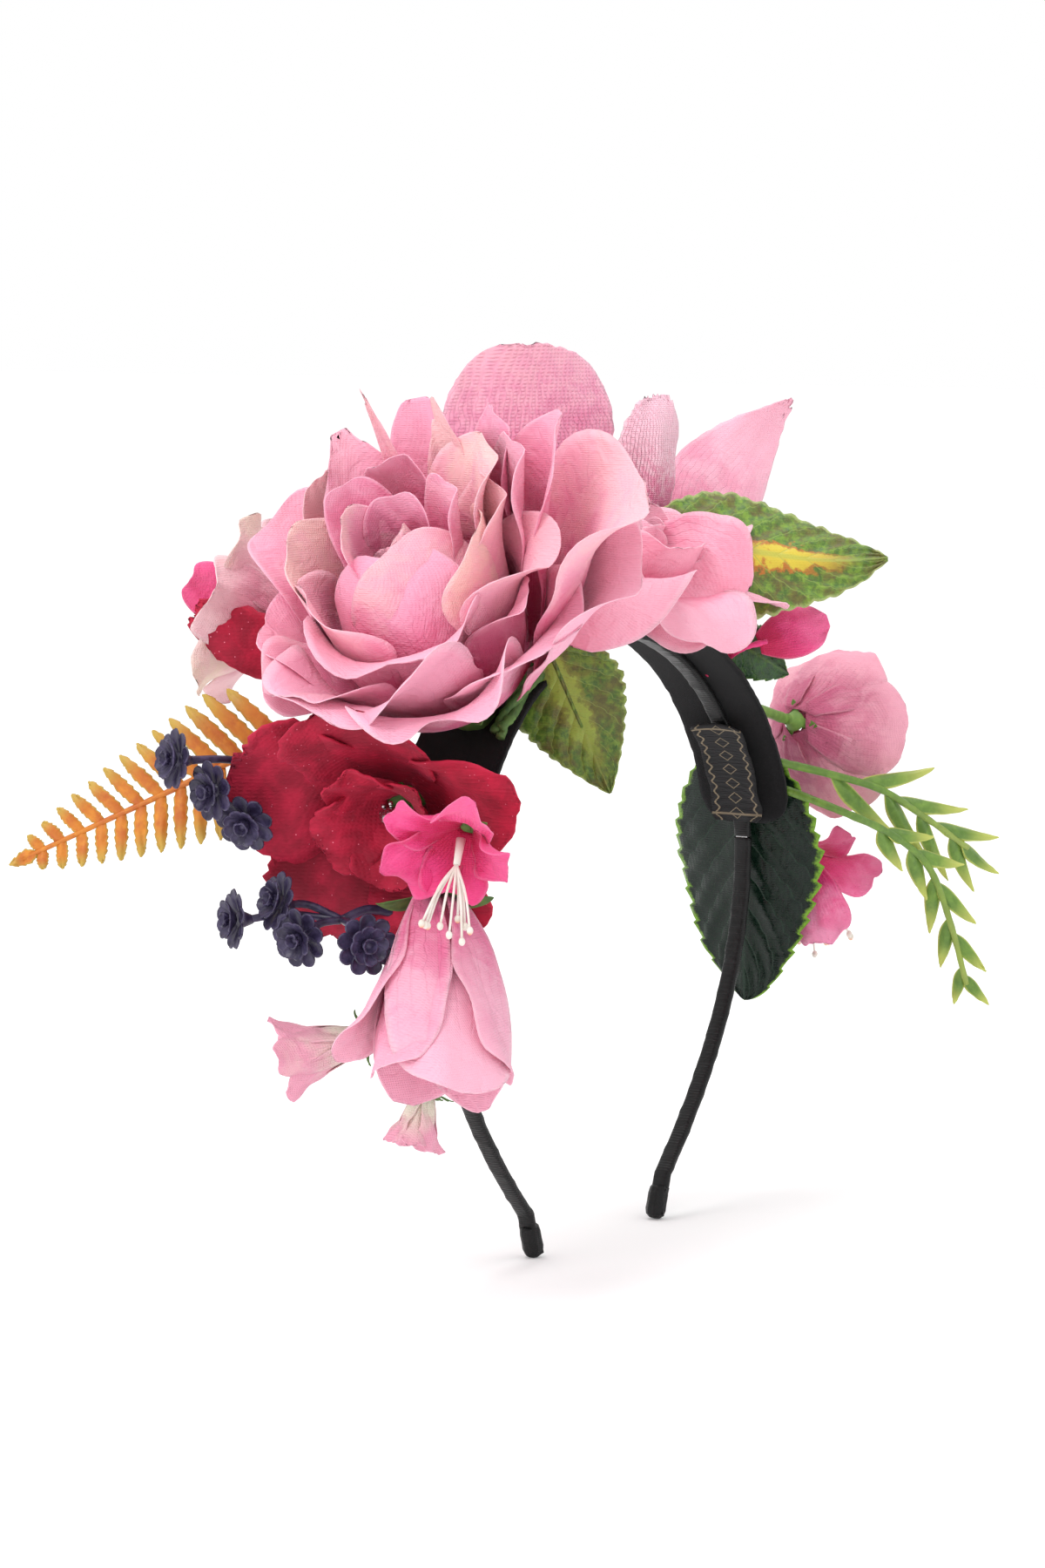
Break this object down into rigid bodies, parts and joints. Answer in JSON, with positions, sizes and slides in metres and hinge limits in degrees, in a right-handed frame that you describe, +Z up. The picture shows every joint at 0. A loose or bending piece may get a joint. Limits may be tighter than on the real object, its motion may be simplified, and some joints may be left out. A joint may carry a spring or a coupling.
{
  "type": "flower crown",
  "caption": "Satin-covered spring headband with a felt back, dressed along one side and over the top with silk flowers, leaves, a fern frond and trailing sprays.",
  "frame": {"origin": "on the ground plane, midway between the two tips of the headband, centred across the band", "axes": "+X across the head from the wearer-left leg shown nearer the flowers to the bare leg, -Y the front face that the label side's sprays lean to, +Z up through the top of the arch"},
  "size_m": [0.2427, 0.1447, 0.2188],
  "materials": {
    "satin_black": "soft satin",
    "spring_steel": "brushed",
    "felt_black": "matte felt",
    "label_weave": "woven",
    "stem_green": "matte",
    "petal_pink": "matte cloth",
    "petal_pale": "matte cloth",
    "petal_dusty": "matte cloth",
    "petal_hot": "soft satin cloth",
    "petal_crimson": "velvet",
    "stamen_white": "matte",
    "bead_silver": "polished",
    "fern_orange": "matte",
    "berry_plum": "soft sheen",
    "leaf_green": "printed cloth",
    "leaf_dark": "waxed cloth",
    "spray_green": "soft sheen"
  },
  "bodies": {
    "crown": {"spring_strip_crown": "spring_steel", "satin_sleeve_crown": "satin_black", "felt_crown": "felt_black", "woven_label": "label_weave", "taped_stem_bundle": "stem_green", "peony_calyx": "stem_green", "crown_rose_calyx": "stem_green", "crimson_calyx": "stem_green", "left_fuchsia_calyx": "stem_green", "pale_flower_calyx": "stem_green", "right_bloom_calyx": "stem_green", "right_fuchsia_calyx": "stem_green", "variegated_leaf_wire": "stem_green", "peony_outer_petals": "petal_pink", "peony_middle_petals": "petal_pink", "peony_inner_petals": "petal_pink", "peony_heart": "petal_pink", "crown_rose_back_petal": "petal_pink", "crown_rose_outer_petals": "petal_pale", "crown_rose_inner_petals": "petal_pale", "velvet_petal": "petal_pale", "shoulder_petal": "petal_pale", "pale_flower_petals": "petal_pale", "pale_flower_heart": "petal_pale", "right_bloom_petals": "petal_dusty", "right_bloom_inner_petals": "petal_dusty", "left_fuchsia_petals": "petal_hot", "right_fuchsia_petals": "petal_hot", "hot_pink_petal": "petal_hot", "crimson_outer_petals": "petal_crimson", "crimson_inner_petals": "petal_crimson", "left_fuchsia_stamens": "stamen_white", "right_fuchsia_stamens": "stamen_white", "crimson_bead": "bead_silver", "broad_leaf": "leaf_dark", "shoulder_leaf": "leaf_dark"},
    "left_leg": {"spring_strip_left_leg": "spring_steel", "satin_sleeve_left_leg": "satin_black", "tip_cap_left": "satin_black", "felt_left_leg": "felt_black", "drooping_rose_calyx": "stem_green", "drooping_rose_outer_petals": "petal_pink", "drooping_rose_inner_petals": "petal_dusty", "rear_blossom_petals": "petal_pale", "rear_blossom_calyx": "stem_green", "low_blossom_petals": "petal_pale", "low_blossom_calyx": "stem_green"},
    "right_leg": {"spring_strip_right_leg": "spring_steel", "satin_sleeve_right_leg": "satin_black", "tip_cap_right": "satin_black"},
    "fern": {"fern_frond": "fern_orange"},
    "upper_florets": {"upper_spray": "berry_plum"},
    "lower_florets": {"lower_spray": "berry_plum"},
    "narrow_leaves": {"narrow_leaf_spray": "spray_green"},
    "trailing_leaves": {"trailing_spray": "spray_green"},
    "variegated_leaf": {"variegated_leaf": "leaf_green"},
    "hanging_leaf": {"hanging_leaf": "leaf_green"}
  },
  "joints": [
    {"name": "left_leg_flex", "type": "hinge", "parent": "crown", "child": "left_leg", "pos_m": [-0.06884, 0, 0.092], "axis": [0, 1, 0], "range_deg": [-3, 6], "stiffness_Nm_per_rad": 0.5},
    {"name": "right_leg_flex", "type": "hinge", "parent": "crown", "child": "right_leg", "pos_m": [0.06884, 0, 0.092], "axis": [0, -1, 0], "range_deg": [-3, 6], "stiffness_Nm_per_rad": 0.5},
    {"name": "fern_bend", "type": "hinge", "parent": "crown", "child": "fern", "pos_m": [-0.06038, 0.014, 0.12145], "axis": [-0.8969, -0.407, 0.173], "range_deg": [-12, 12]},
    {"name": "upper_florets_bend", "type": "hinge", "parent": "crown", "child": "upper_florets", "pos_m": [-0.06473, 0.0125, 0.11676], "axis": [0.6402, 0.7682, 0], "range_deg": [-12, 12]},
    {"name": "lower_florets_bend", "type": "hinge", "parent": "left_leg", "child": "lower_florets", "pos_m": [-0.07279, 0.009, 0.08714], "axis": [0.6402, 0.7682, 0], "range_deg": [-7, 10]},
    {"name": "narrow_leaves_bend", "type": "hinge", "parent": "crown", "child": "narrow_leaves", "pos_m": [0.06776, -0.011, 0.11049], "axis": [0.5, 0.866, 0], "range_deg": [-12, 5]},
    {"name": "trailing_leaves_bend", "type": "hinge", "parent": "crown", "child": "trailing_leaves", "pos_m": [0.07035, -0.011, 0.10348], "axis": [0.5, 0.866, 0], "range_deg": [-5, 12]},
    {"name": "variegated_leaf_bend", "type": "hinge", "parent": "crown", "child": "variegated_leaf", "pos_m": [0.03144, -0.003, 0.16764], "axis": [0.765, 0.644, 0], "range_deg": [-12, 12]},
    {"name": "hanging_leaf_bend", "type": "hinge", "parent": "crown", "child": "hanging_leaf", "pos_m": [-0.0389, -0.017, 0.14082], "axis": [1, 0, 0], "range_deg": [-12, 8]}
  ]
}
